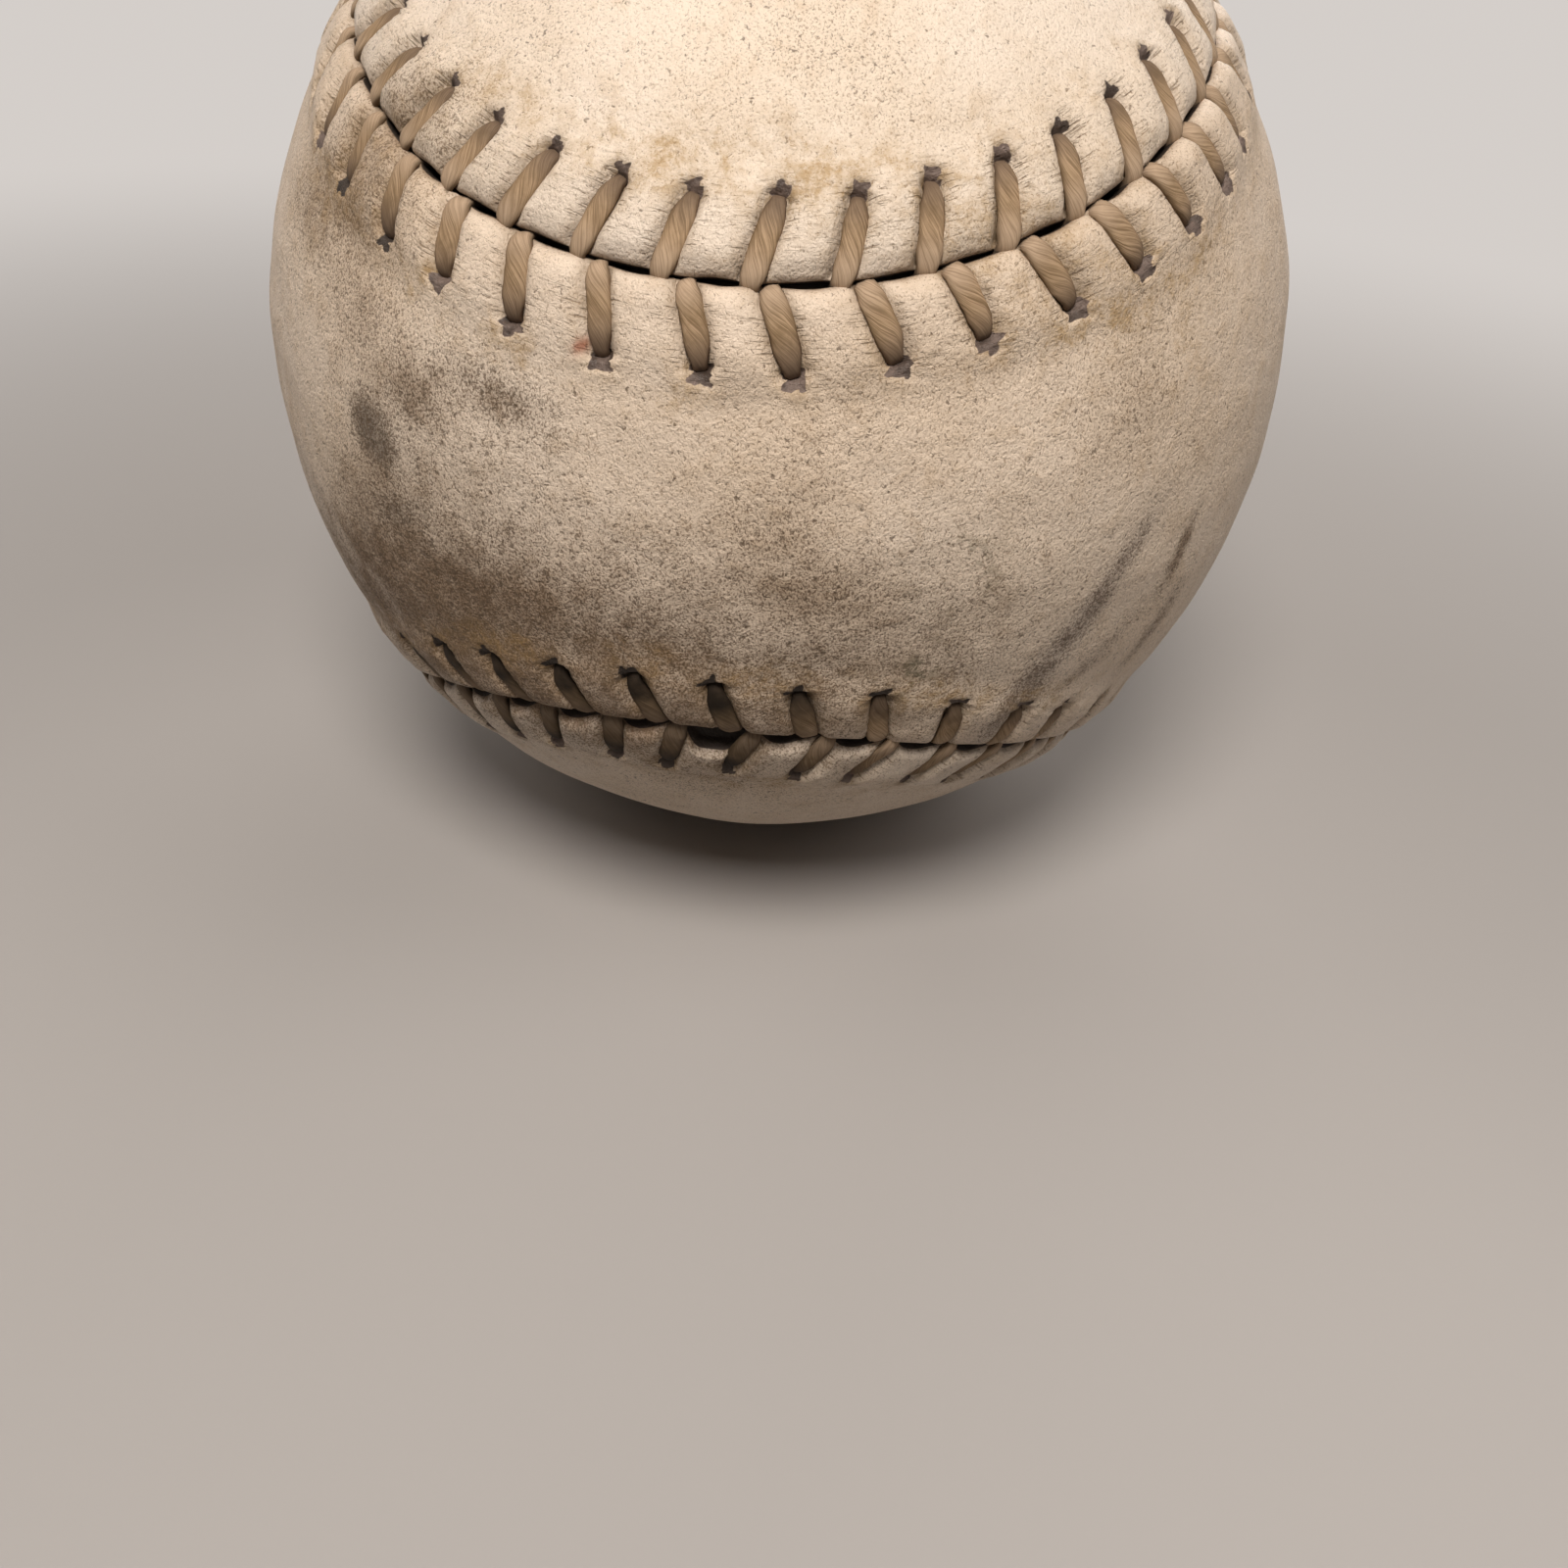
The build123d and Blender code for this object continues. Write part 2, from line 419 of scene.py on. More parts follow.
def inside_panel(directions, panel, margin):
    """The directions that lie inside a panel, further than margin from the seam."""
    kept = []
    limit = 2 * np.sin(margin / ball_radius / 2)
    for direction in directions:
        _, i, distance = seam_tree.find(direction)
        if distance > limit and np.dot(column_side[i], direction) * panel > 0:
            kept.append(direction)
    return np.array(kept)


def filled(ring, inner, panel):
    """Triangles between a ring of directions and the points inside it, as indices into both."""
    points = np.concatenate([ring, inner])
    far = 1 + panel * points[:, 1]
    flat = np.stack([points[:, 0], points[:, 2]], axis=1) / far[:, None]
    edges = [(i, (i + 1) % len(ring)) for i in range(len(ring))]
    result = delaunay_2d_cdt([Vector(p) for p in flat], edges, [], 1, 1e-9)
    original = [ids[0] for ids in result[3]]
    triangles = np.array([[original[i] for i in face] for face in result[2]])
    a, b, c = (points[triangles[:, i]] for i in range(3))
    turned = (np.cross(b - a, c - a) * a).sum(axis=1) < 0
    triangles[turned] = triangles[turned][:, ::-1]
    return triangles


def grid_faces(rows, columns, outward):
    """Quads of a closed strip of rows of points."""
    i, j = np.meshgrid(np.arange(columns), np.arange(rows - 1))
    ahead = (i + 1) % columns
    corners = [j * columns + i, j * columns + ahead, (j + 1) * columns + ahead, (j + 1) * columns + i]
    faces = np.stack([c.ravel() for c in corners], axis=1)
    return faces if outward else faces[:, ::-1]


def under_rows(gap, panel):
    """Rows of points along the seam on a panel's underside, from inside it to its edge."""
    edge = gap + edge_set_in
    places = [(np.full_like(gap, inset), under_height) for inset in under_insets]
    places += [(edge, under_height), (edge, edge_low)]
    return [over_ball(column_way, panel * away) * (ball_radius + height) for away, height in places]


def top_rows(gap, panel):
    """Rows of points on a panel's face from its edge inward, their ways from the seam and stitch fields."""
    rows, aways, fields = [], [], []
    for row in (*strip_rows, strip_width):
        if row < strip_width:
            away = gap + row * (1 - gap / strip_width)
            height, field = leather_height(column_way, away, row, panel)
        else:
            away = np.full_like(gap, strip_width)
            height, field = 0, stitch_field(column_way, away, panel)
        direction = over_ball(column_way, panel * away)
        rows.append(direction * (ball_radius + height + undulation(direction))[:, None])
        aways.append(away)
        fields.append(field)
    return rows, aways, fields


def paint_panel(made, vertices, first_top, gap, aways, fields):
    """What the leather reads: dirt by the seam with black painted shade on its edge in the seam's gap,
    stitch holes painted dark and partly as shade, darkening along the grooves, and the marks on it.
    """
    count = len(vertices)
    seam_dirt_and_shade, hole_torn_and_shade, groove_dark = np.zeros(count), np.zeros(count), np.zeros(count)
    lap = 2 * np.pi * column_way / seam_length
    lie = np.zeros((count, 3))
    lie[:, 2] = 2
    # The panel's underside and its edge wall in the seam's gap: black painted shade
    seam_dirt_and_shade[:first_top] = 1
    for j, (away, field) in enumerate(zip(aways, fields)):
        first = first_top + j * seam_columns
        place = slice(first, first + seam_columns)
        from_edge = away - gap
        on_edge = 0.7 * np.exp(-(from_edge / edge_dirt_width) ** 2)
        beside = 0.2 * np.exp(-away / seam_dirt_width) * smooth(from_edge, 0, 1)
        # Black painted shade on the edge in the gap, then dirt on the edge and beside the seam
        seam_dirt_and_shade[place] = np.where(from_edge < black_edge_width, 1, on_edge + beside)
        # Stitch holes: torn leather painted dark, partly as the shade inside the hole
        hole_torn_and_shade[place] = hole_shape(field)
        # Darker along the threads' grooves
        groove_dark[place] = np.exp(-(field["thread"] / groove_dark_width) ** 2)
        lie[place] = np.stack([np.cos(lap), np.sin(lap), away / 10], axis=1)
    direction = unit(vertices)
    paint(made.data, "sewing", (seam_dirt_and_shade, hole_torn_and_shade, groove_dark))
    paint(made.data, "lie", lie.T)
    for name, kinds in (
        ("rubbed", ("smear",)),
        ("marks", ("grey", "brown", "mould")),
        ("spots", ("yellow", "red", "ink")),
    ):
        paint(made.data, name, [mark_strength(direction, kind) for kind in kinds])


def leather_panel(name, panel):
    """One leather panel: rolled edges, puckered along its stitches, closed underneath."""
    gap = half_gap(column_way, panel)
    under = under_rows(gap, panel)
    top, aways, fields = top_rows(gap, panel)
    rows = under + top
    strip = np.concatenate(rows)
    faces = grid_faces(len(rows), seam_columns, panel == BACK).tolist()

    # The middle of the panel, above and below
    ring = np.arange(seam_columns)
    inner = inside_panel(even_points(spread_points), panel, strip_width + 0.3)
    inner_points = inner * (ball_radius + undulation(inner))[:, None]
    offset = np.concatenate([ring + (len(rows) - 1) * seam_columns, np.arange(len(inner)) + len(strip)])
    faces += offset[filled(unit(rows[-1]), inner, panel)].tolist()
    below = inside_panel(even_points(under_spread_points), panel, strip_width + 1.2)
    below_points = below * (ball_radius + under_height)
    offset = np.concatenate([ring, np.arange(len(below)) + len(strip) + len(inner)])
    faces += offset[filled(unit(rows[0]), below, panel)[:, ::-1]].tolist()

    vertices = np.concatenate([strip, inner_points, below_points])
    made = mesh_object(name, vertices, faces)
    paint_panel(made, vertices, len(under) * seam_columns, gap, aways, fields)
    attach(made, "root")
    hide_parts(name)
    return made


def stitch_path(station, panel):
    """A stitch from under its hole, up, over the leather and down into the seam.

    The rows are way along the seam, way across it, height and half width.
    """
    i = station % stitch_count
    sewn = {key: values[i] for key, values in stitches[panel].items()}
    hole = np.array([sewn["lean"], sewn["reach"]]) * (1 - hole_setback / sewn["reach"])
    end = np.array([0.0, -past_seam[panel]])
    run = np.linalg.norm(end - hole)
    level = np.linspace(level_start, run - level_start, level_points)
    distance = np.concatenate([dip_distances, level, run - dip_distances[::-1]])
    level = np.full(level_points, level_height + sewn["lift"])
    height = np.concatenate([dip_heights, level, dip_heights[::-1]])
    share = distance / run
    place = hole + (end - hole) * share[:, None]
    sideways = np.array([(end - hole)[1], -(end - hole)[0]]) / run
    place = place - sideways * (sewn["bow"] * np.sin(np.pi * share))[:, None]
    narrower = narrower_at_hole * (1 - smooth(distance, 0.0, hole_taper))
    narrower = narrower + narrower_at_seam * (1 - smooth(run - distance, 0.0, seam_taper))
    width = (thread_half_width - narrower) * sewn["width"] * thread_share[panel]
    return np.stack([sewn["entry"] + place[:, 0], panel * place[:, 1], height, width])


def thread_route(first_side):
    """One thread, stitch by stitch from panel to panel, with its hidden runs under the leather.

    The rows are a stitch's rows, and the side that the thread's breadth is turned to.
    """
    stitch_paths = []
    for i in range(stitch_count):
        path = stitch_path(-i, first_side if i % 2 == 0 else -first_side)
        if path[0, 0] > first_stitch + seam_length / 2 - i * stitch_pitch:
            path[0] -= seam_length
        stitch_paths.append(path)
    runs = []
    for i, path in enumerate(stitch_paths):
        turn = 1 if i % 2 == 0 else -1
        runs.append(np.vstack([path, np.full(path.shape[1], turn)]))
        if i + 1 < stitch_count:
            start = path[:2, -1:]
            hidden = start + (stitch_paths[i + 1][:2, :1] - start) * hidden_shares
            same = np.ones(len(hidden_shares))
            runs.append(np.vstack([hidden, hidden_height * same, hidden_half_width * same, turn * same]))
    return np.concatenate(runs, axis=1)


def thread_breadth(direction, tangent, turn):
    """The way across a thread on the leather, evened out where the thread dives."""
    level = np.gradient(direction, axis=0)
    level = level - direction * (level * direction).sum(axis=1, keepdims=True)
    step = np.linalg.norm(level, axis=1, keepdims=True)
    level = np.where(step > 1e-6, level / np.maximum(step, 1e-9), 0)
    breadth = np.cross(direction, level) * turn[:, None]
    kernel = np.array([1, 2, 3, 2, 1]) / 9
    padded = np.pad(breadth, ((2, 2), (0, 0)), "edge")
    breadth = np.stack([np.convolve(padded[:, i], kernel, "valid") for i in range(3)], axis=1)
    return unit(breadth - tangent * (breadth * tangent).sum(axis=1, keepdims=True))


def at_corners(values):
    """A thread's numbers by its rings, given to all the corners of the rings and to its two end points."""
    return np.concatenate([np.repeat(values, thread_sides), values[:1], values[-1:]])


def paint_thread(made, vertices, around, distance, across, height):
    """What the thread's material reads: the lay of its fibres, painted shade along its sides, and its dirt,
    with painted shade mixed in on the lower left and where it dives into its holes.
    """
    along = at_corners(distance)
    turned = np.concatenate([np.tile(around, len(distance)), [0, 0]])
    # Painted shade along the thread's sides
    edge = np.concatenate([np.tile(np.abs(np.cos(around)) ** 4, len(distance)), [0, 0]])
    away = at_corners(np.abs(across))
    outward = unit(vertices)
    # Darker towards the lower left: partly dirt, partly painted shade
    low_left = smooth(-outward[:, 2], 0.05, 0.35) * (1 - 0.88 * smooth(outward[:, 0], 0.02, 0.35))
    low_dirt_and_shade = low_left * (0.58 + 0.42 * smooth(away, 2.4, 5.2))
    brown_dirt_and_shade = 0.40 * mark_strength(outward, "brown") * smooth(away, 1.0, 5.0)
    # Darker towards the hole and where the thread dives under the leather: partly dirt, partly painted
    # shade
    deep = 1 - smooth(at_corners(height), -1.2, -0.1)
    end_dirt_and_shade = np.clip(smooth(away, 2.6, 5.6) * 0.95 + deep, 0, 1)
    worn = 1 - smooth(away, 0.4, 2.6)
    paint(made.data, "fibre_and_side_shade", (along * 0.01, turned / (2 * np.pi) + fibre_twist * along, edge))
    paint(made.data, "thread_dirt_and_shade", (np.clip(low_dirt_and_shade + brown_dirt_and_shade, 0, 1), end_dirt_and_shade, worn))


def thread_tube(name, first_side):
    """One seam thread: a flattened tube along its route, closed at both ends."""
    way, across, height, width, turn = thread_route(first_side)
    direction = over_ball(way, across)
    path = direction * (ball_radius + height + undulation(direction))[:, None]
    tangent = unit(np.gradient(path, axis=0))
    breadth = thread_breadth(direction, tangent, turn)
    normal = np.cross(tangent, breadth)
    distance = np.concatenate([[0], np.cumsum(np.linalg.norm(np.diff(path, axis=0), axis=1))])
    sides = thread_sides
    around = np.arange(sides) / sides * 2 * np.pi
    strands = 1 + strand_height * np.cos(strand_count * around + distance[:, None] * strand_turn)
    surface = np.stack(np.broadcast_arrays(distance[:, None], around * 2), axis=-1)
    swell = strands * (1 + fuzz_height * ripple(surface, wavelength=1.7, seed=51))
    x = np.sign(np.cos(around)) * np.abs(np.cos(around)) ** thread_squareness
    y = np.sign(np.sin(around)) * np.abs(np.sin(around)) ** thread_squareness
    thick = thread_half_thickness + hidden_more_thickness * (1 - smooth(height, -2.2, -1.4))
    rings = (
        path[:, None, :]
        + breadth[:, None, :] * (width[:, None] * x * swell)[:, :, None]
        + normal[:, None, :] * (thick[:, None] * y * swell)[:, :, None]
    )
    count = len(path)
    vertices = np.concatenate([rings.reshape(-1, 3), path[:1], path[-1:]])
    faces = grid_faces(count, sides, False).tolist()
    first_middle = count * sides
    last = first_middle - sides
    for i in range(sides):
        ahead = (i + 1) % sides
        faces.append([i, ahead, first_middle])
        faces.append([last + ahead, last + i, first_middle + 1])
    made = mesh_object(name, vertices, faces)
    paint_thread(made, vertices, around, distance, across, height)
    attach(made, "root")
    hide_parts(name)
    return made


class Shader:
    """A material under construction."""

    def __init__(self, name):
        self.material = bpy.data.materials.new(name)
        self.material.use_nodes = True
        self.tree = self.material.node_tree
        self.surface = self.tree.nodes["Principled BSDF"]
        self.place = self.node("ShaderNodeTexCoord").outputs["Object"]
        self.colour = None

    def node(self, kind, **settings):
        made = self.tree.nodes.new(kind)
        for key, value in settings.items():
            setattr(made, key, value)
        return made

    def put(self, socket, value):
        if isinstance(value, bpy.types.NodeSocket):
            self.tree.links.new(value, socket)
        else:
            socket.default_value = value

    def set(self, name, value):
        self.put(self.surface.inputs[name], value)

    def joined(self, *numbers):
        made = self.node("ShaderNodeCombineXYZ")
        for socket, number in zip(made.inputs, numbers):
            self.put(socket, number)
        return made.outputs[0]

    def stretched(self, scale, rotation=(0, 0, 0), vector=None):
        made = self.node("ShaderNodeMapping")
        made.inputs["Scale"].default_value = scale
        made.inputs["Rotation"].default_value = rotation
        self.put(made.inputs["Vector"], self.place if vector is None else vector)
        return made.outputs["Vector"]

    def noise(self, scale, detail, roughness, distortion=0.0, vector=None):
        made = self.node("ShaderNodeTexNoise")
        made.inputs["Scale"].default_value = scale
        made.inputs["Detail"].default_value = detail
        made.inputs["Roughness"].default_value = roughness
        made.inputs["Distortion"].default_value = distortion
        self.put(made.inputs["Vector"], self.place if vector is None else vector)
        return made.outputs["Fac"]

    def band(self, value, start, end, low=0.0, high=1.0):
        """Goes from low to high as the value goes from start to end."""
        made = self.node("ShaderNodeMapRange", interpolation_type="SMOOTHSTEP")
        for name, number in (("From Min", start), ("From Max", end), ("To Min", low), ("To Max", high)):
            made.inputs[name].default_value = number
        self.put(made.inputs["Value"], value)
        return made.outputs["Result"]

    def math(self, operation, a, b, clamped=False):
        made = self.node("ShaderNodeMath", operation=operation, use_clamp=clamped)
        self.put(made.inputs[0], a)
        self.put(made.inputs[1], b)
        return made.outputs[0]

    def plus(self, a, b):
        return self.math("ADD", a, b, clamped=True)

    def times(self, a, b):
        return self.math("MULTIPLY", a, b)

    def mix(self, share, a, b):
        made = self.node("ShaderNodeMix", data_type="RGBA")
        self.put(made.inputs[0], share)
        for socket, value in ((made.inputs[6], a), (made.inputs[7], b)):
            self.put(socket, value if isinstance(value, bpy.types.NodeSocket) else (*value, 1))
        return made.outputs[2]

    def tint(self, share, colour):
        """Lays a share of a colour over the colour so far."""
        self.colour = self.mix(share, self.colour, colour)

    def painted(self, name):
        """The three numbers that a mesh stores under a name."""
        made = self.node("ShaderNodeAttribute", attribute_name=name)
        split = self.node("ShaderNodeSeparateColor")
        self.put(split.inputs[0], made.outputs["Color"])
        return [split.outputs[i] for i in range(3)]

    def bump(self, height, strength, distance):
        made = self.node("ShaderNodeBump")
        made.inputs["Strength"].default_value = strength
        made.inputs["Distance"].default_value = distance
        self.put(made.inputs["Height"], height)
        return made.outputs["Normal"]


# Colours of the leather's dirt, and of painted shade: black in the seam's gap, dark in the stitch holes,
# and mixed into the brown low on the front
leather_tan = (0.48, 0.325, 0.18)
brown_soil_and_shade = (0.215, 0.135, 0.075)
grey_soil = (0.085, 0.075, 0.062)
smear_grey = (0.17, 0.135, 0.118)
clean_pore = (0.20, 0.112, 0.045)
soiled_pore = (0.10, 0.058, 0.029)
fleck_brown = (0.10, 0.067, 0.04)
crease_brown = (0.17, 0.108, 0.058)
stain_yellow = (0.38, 0.235, 0.085)
mould_green = (0.12, 0.115, 0.07)
spot_red = (0.36, 0.10, 0.05)
ink_blue = (0.02, 0.035, 0.12)
groove_brown = (0.30, 0.20, 0.10)
edge_brown = (0.17, 0.105, 0.06)
# Black painted shade in the seam's gap
seam_gap_shade = (0.035, 0.024, 0.017)
# Stitch holes: torn leather, painted partly as the shade inside the hole
torn_dark = (0.055, 0.037, 0.028)
torn_light = (0.19, 0.138, 0.115)
torn_soiled = (0.022, 0.015, 0.010)

# Colours of the thread
thread_dark = (0.20, 0.128, 0.068)
thread_light = (0.47, 0.328, 0.203)
thread_patch = (0.19, 0.122, 0.06)
thread_worn = (0.50, 0.37, 0.265)
# Painted shade along the thread's sides
thread_side_shade = (0.11, 0.072, 0.038)
# Dirt and painted shade at the thread's hole ends
thread_end_dirt_and_shade = (0.095, 0.064, 0.048)
# Dirt and painted shade on the lower left
thread_soil_and_shade = (0.015, 0.010, 0.006)


def leather_material(name, cream, aged):
    """Aged off-white grain leather whose pores have taken up dirt, soiled along the stitching, with painted
    shade in the seam's gap and stitch holes, and painted shade mixed into the brown low on the front.
    """
    shade = Shader(name)
    on_edge, on_hole, on_groove = shade.painted("sewing")
    grey_mark, brown_mark, mould_mark = shade.painted("marks")
    yellow_mark, red_mark, ink_mark = shade.painted("spots")
    smear_mark = shade.painted("rubbed")[0]
    lap_x, lap_y, from_seam = shade.painted("lie")
    cloud = shade.noise(42, 4, 0.6)
    patch = shade.noise(430, 4, 0.62, 0.3)
    fleck = shade.noise(2600, 2, 0.6, 0.6)
    grain = shade.noise(1, 2, 0.6, 0.4, shade.stretched((6400, 6400, 4800), (0.3, 0.5, 0.2)))

    # Soil on the open leather, with painted shade mixed into the broad brown low on the front
    blotch = shade.band(patch, 0.28, 0.68, 0.68, 1.0)
    brown = shade.plus(shade.band(cloud, 0.44, 0.72, 0.0, 0.36), shade.times(brown_mark, blotch))
    grey = shade.times(grey_mark, blotch)
    smear = shade.times(smear_mark, shade.band(patch, 0.25, 0.65, 0.55, 1.0))
    soil_and_shade = shade.plus(brown, shade.plus(grey, smear))
    shade.colour = shade.mix(shade.band(cloud, 0.3, 0.7, 0.0, 0.85), cream, aged)
    shade.tint(shade.band(patch, 0.5, 0.75, 0.0, 0.26), leather_tan)
    # Brown soil, with painted shade in the broad brown low on the front
    shade.tint(shade.band(brown, 0.25, 1.1, 0.0, 0.84), brown_soil_and_shade)
    shade.tint(shade.times(grey, 0.8), grey_soil)
    shade.tint(shade.times(smear, 0.62), smear_grey)

    # Pores and flecks, more of them where it is soiled and where shade is painted low on the front
    pore = shade.band(shade.plus(grain, shade.times(soil_and_shade, 0.13)), 0.54, 0.70)
    pore_colour = shade.mix(shade.band(soil_and_shade, 0.1, 0.6), clean_pore, soiled_pore)
    shade.tint(shade.times(pore, shade.band(soil_and_shade, 0.0, 0.8, 0.48, 0.80)), pore_colour)
    dot = shade.band(shade.plus(fleck, shade.times(soil_and_shade, 0.12)), 0.64, 0.73)
    shade.tint(shade.times(dot, 0.7), fleck_brown)

    # Hair creases across the puckers, and yellow stains round the holes
    beside_seam = shade.joined(lap_x, lap_y, from_seam)
    hair = shade.noise(1, 2, 0.55, 0.5, shade.stretched((58, 58, 62), vector=beside_seam))
    pucker = shade.times(shade.band(from_seam, 0.06, 0.22), shade.band(from_seam, 0.85, 0.5))
    by_thread = shade.band(on_groove, 0.01, 0.25, 0.35, 1.0)
    crease = shade.times(shade.band(hair, 0.56, 0.68), shade.times(pucker, by_thread))
    shade.tint(shade.times(crease, 0.68), crease_brown)
    by_holes = shade.times(shade.band(from_seam, 0.4, 0.6), shade.band(from_seam, 1.05, 0.75))
    by_holes = shade.times(by_holes, shade.band(shade.noise(150, 3, 0.6), 0.44, 0.66, 0.10, 0.75))
    yellow = shade.times(shade.plus(yellow_mark, by_holes), shade.band(patch, 0.36, 0.66, 0.15, 0.75))
    yellow = shade.times(yellow, shade.band(shade.noise(1500, 4, 0.7), 0.35, 0.62, 0.25, 1.0))
    shade.tint(yellow, stain_yellow)
    shade.tint(shade.times(mould_mark, shade.band(patch, 0.48, 0.58)), mould_green)
    shade.tint(red_mark, spot_red)
    shade.tint(ink_mark, ink_blue)

    # Dirt along the stitching, darker along the threads' grooves, black painted shade in the seam's gap,
    # and stitch holes painted dark, partly as shade
    # Darker along the threads' grooves
    shade.tint(shade.times(on_groove, shade.band(patch, 0.25, 0.7, 0.15, 0.7)), groove_brown)
    shade.tint(shade.times(on_edge, shade.band(patch, 0.25, 0.65, 0.35, 0.95)), edge_brown)
    # The seam's gap: black painted shade
    shade.tint(shade.band(on_edge, 0.9, 1.0), seam_gap_shade)
    # Stitch holes: torn leather painted dark, partly as the shade inside the hole
    torn = shade.mix(shade.band(patch, 0.35, 0.65), torn_dark, torn_light)
    torn = shade.mix(shade.band(brown, 0.2, 0.7, 0.0, 0.85), torn, torn_soiled)
    shade.tint(shade.band(on_hole, 0.38, 0.58), torn)

    shade.set("Base Color", shade.colour)
    shade.set("Roughness", shade.plus(shade.band(patch, 0.3, 0.7, 0.43, 0.56), shade.times(brown, 0.2)))
    shade.set("Specular IOR Level", 0.34)
    pits = shade.plus(shade.times(grain, 0.3), shade.times(crease, 0.2))
    pits = shade.plus(pits, shade.times(fleck, 0.45))
    shade.set("Normal", shade.bump(shade.math("SUBTRACT", patch, pits), 0.9, 0.0003))
    return shade.material


def thread_material(name):
    """Waxed tan thread with fine twisted fibres and painted shade along its sides, darker where it has
    picked up dirt, and on the lower left and at its hole ends also from painted shade.
    """
    shade = Shader(name)
    along, turned, on_edge = shade.painted("fibre_and_side_shade")
    low_dirt_and_shade, end_dirt_and_shade, worn = shade.painted("thread_dirt_and_shade")
    streak = shade.noise(1, 3, 0.6, 0.2, shade.stretched((34, 38, 1), vector=shade.joined(along, turned)))
    patch = shade.noise(420, 4, 0.6)
    shade.colour = shade.mix(shade.band(streak, 0.30, 0.68), thread_dark, thread_light)
    shade.tint(shade.band(patch, 0.45, 0.72, 0.0, 0.6), thread_patch)
    shade.tint(shade.times(worn, shade.band(streak, 0.3, 0.7, 0.3, 0.8)), thread_worn)
    # Painted shade along the thread's sides
    shade.tint(shade.times(on_edge, 0.7), thread_side_shade)
    # Dirt and painted shade at the thread's hole ends
    shade.tint(shade.times(end_dirt_and_shade, 0.8), thread_end_dirt_and_shade)
    # Darker on the lower left: partly dirt, partly painted shade
    shade.tint(shade.times(low_dirt_and_shade, shade.band(patch, 0.25, 0.6, 0.80, 1.0)), thread_soil_and_shade)
    shade.set("Base Color", shade.colour)
    shade.set("Roughness", shade.band(streak, 0.3, 0.7, 0.62, 0.8))
    shade.set("Specular IOR Level", 0.16)
    shade.set("Normal", shade.bump(streak, 0.4, 0.0001))
    return shade.material


def inner_material(name, dark, light, scale, roughness):
    """A layer inside the cover: two tones in a stretched grain."""
    shade = Shader(name)
    grain = shade.noise(1, 4, 0.6, 0.5, shade.stretched(scale))
    shade.set("Base Color", shade.mix(shade.band(grain, 0.35, 0.65), dark, light))
    shade.set("Roughness", shade.band(grain, 0.3, 0.7, roughness, roughness + 0.12))
    shade.set("Normal", shade.bump(grain, 0.5, 0.0003))
    return shade.material


def dress(thing, material):
    thing.data.materials.clear()
    thing.data.materials.append(material)


# The pieces, dressed
front_leather = leather_material("front_leather", cream=(0.80, 0.665, 0.54), aged=(0.72, 0.57, 0.43))
back_leather = leather_material("back_leather", cream=(0.81, 0.695, 0.585), aged=(0.73, 0.60, 0.47))
waxed_thread = thread_material("waxed_thread")
pressed_cork = inner_material("pressed_cork", (0.22, 0.12, 0.06), (0.52, 0.34, 0.19), (900, 900, 900), 0.8)
wound_cord = inner_material("wound_cord", (0.50, 0.44, 0.34), (0.76, 0.70, 0.58), (300, 1800, 900), 0.8)
bonded_cord = inner_material("bonded_cord", (0.05, 0.03, 0.018), (0.12, 0.075, 0.04), (300, 1200, 600), 0.5)
dress(leather_panel("cover_panel_front", FRONT), front_leather)
dress(leather_panel("cover_panel_back", BACK), back_leather)
dress(thread_tube("seam_thread_a", BACK), waxed_thread)
dress(thread_tube("seam_thread_b", FRONT), waxed_thread)
dress(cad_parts["cork_core"], pressed_cork)
dress(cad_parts["cord_winding"], wound_cord)
dress(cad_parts["latex_bonded_layer"], bonded_cord)

# Camera, fitted to the photograph
scene = bpy.context.scene
camera = bpy.data.objects.new("camera", bpy.data.cameras.new("camera"))
scene.collection.objects.link(camera)
camera_place = Vector((13.22, -138.559, 42.867)) * MM
camera_right = Vector((0.99203, 0.11027, 0.06089))
camera_up = Vector((-0.11289, 0.56376, 0.81819))
camera_ahead = Vector((-0.05590, 0.81855, -0.57172))
facing = Matrix((camera_right, camera_up, -camera_ahead)).transposed().to_4x4()
camera.matrix_world = Matrix.Translation(camera_place) @ facing
camera.data.sensor_width = 36
camera.data.lens = 31.275
camera.data.clip_start = 0.005
scene.camera = camera

# Floor: plain and pale, fading into the background, and darker to the light that it throws back
background = (0.66, 0.62, 0.59)
floor_seen = (0.46, 0.435, 0.42)
floor_throwing = (0.29, 0.268, 0.25)
floor_reach = 6000
floor_drop = 0.15
fade_start = 0.07
fade_end = 0.36
seen_rays = ("Is Camera Ray", "Is Glossy Ray", "Is Transmission Ray")
corner_signs = ((-1, -1, 0), (1, -1, 0), (1, 1, 0), (-1, 1, 0))
floor = mesh_object("floor", np.array(corner_signs, float) * floor_reach, [[0, 1, 2, 3]])
floor.location.z = -(ball_radius + floor_drop) * MM
floor_shade = Shader("pale_floor")
far = floor_shade.node("ShaderNodeVectorMath", operation="LENGTH")
floor_shade.put(far.inputs[0], floor_shade.place)
fade = floor_shade.band(far.outputs["Value"], fade_start, fade_end)
rays = floor_shade.node("ShaderNodeLightPath").outputs
seen = rays[seen_rays[0]]
for ray in seen_rays[1:]:
    seen = floor_shade.plus(seen, rays[ray])
near_colour = floor_shade.mix(seen, floor_throwing, floor_seen)
floor_shade.set("Base Color", floor_shade.mix(fade, near_colour, (0, 0, 0)))
floor_shade.set("Emission Color", (*background, 1))
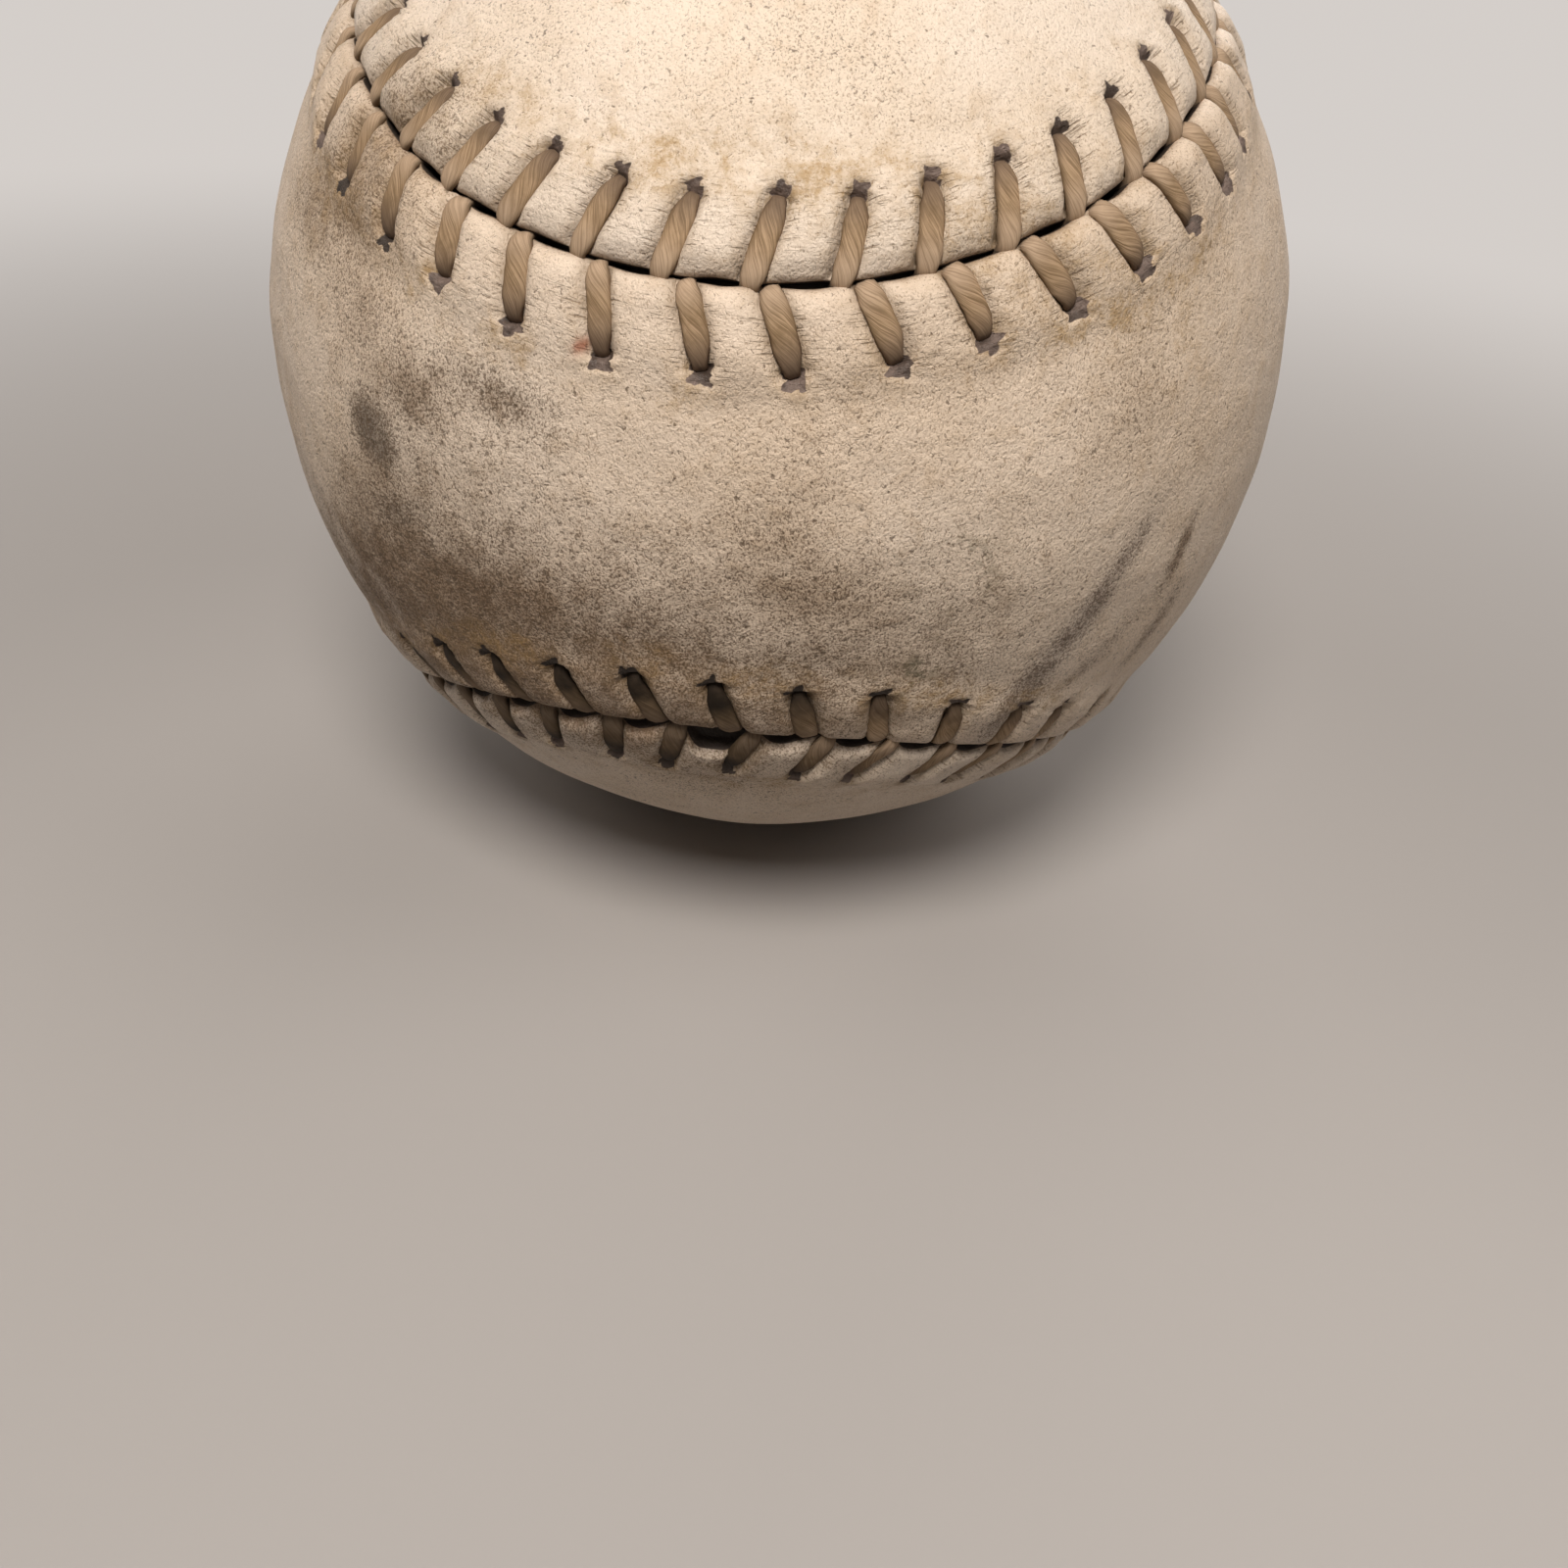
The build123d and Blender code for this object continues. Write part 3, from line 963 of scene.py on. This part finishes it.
floor_shade.set("Emission Strength", floor_shade.times(seen, fade))
floor_shade.set("Roughness", 0.7)
floor_shade.set("Specular IOR Level", 0.0)
dress(floor, floor_shade.material)

# Lamps aimed at the ball: name, place and disk size in metres, power, colour
warm_white = (1.0, 0.95, 0.90)
lamps = (
    ("key", (0.0, -0.190, 0.233), 0.12, 0.84, (1.0, 0.94, 0.875)),
    ("left", (-0.40, -0.04, 0.36), 0.3, 0.40, warm_white),
    ("right", (0.40, -0.04, 0.36), 0.3, 0.50, warm_white),
    ("back", (0.06, 0.36, 0.20), 0.3, 0.72, warm_white),
)
for name, place, size, power, colour in lamps:
    light = bpy.data.lights.new(name, "AREA")
    light.shape = "DISK"
    light.size = size
    light.energy = power
    light.color = colour
    lamp = bpy.data.objects.new(name, light)
    lamp.location = place
    lamp.rotation_mode = "QUATERNION"
    lamp.rotation_quaternion = (-Vector(place)).to_track_quat("-Z", "Y")
    lamp.visible_camera = False
    scene.collection.objects.link(lamp)

# World: dim as a light, and the background's colour where it is seen
world = bpy.data.worlds.new("studio")
scene.world = world
world.use_nodes = True
nodes = world.node_tree.nodes
link = world.node_tree.links.new
dim = nodes["Background"]
dim.inputs["Color"].default_value = (0.86, 0.82, 0.78, 1)
dim.inputs["Strength"].default_value = 0.07
shown = nodes.new("ShaderNodeBackground")
shown.inputs["Color"].default_value = (*background, 1)
shown.inputs["Strength"].default_value = 1.0
rays = nodes.new("ShaderNodeLightPath").outputs
seen = rays[seen_rays[0]]
for ray in seen_rays[1:]:
    either_ray = nodes.new("ShaderNodeMath")
    either_ray.operation = "MAXIMUM"
    link(seen, either_ray.inputs[0])
    link(rays[ray], either_ray.inputs[1])
    seen = either_ray.outputs[0]
dim_or_shown = nodes.new("ShaderNodeMixShader")
link(seen, dim_or_shown.inputs[0])
link(dim.outputs[0], dim_or_shown.inputs[1])
link(shown.outputs[0], dim_or_shown.inputs[2])
link(dim_or_shown.outputs[0], nodes["World Output"].inputs["Surface"])

scene.view_settings.view_transform = "Standard"
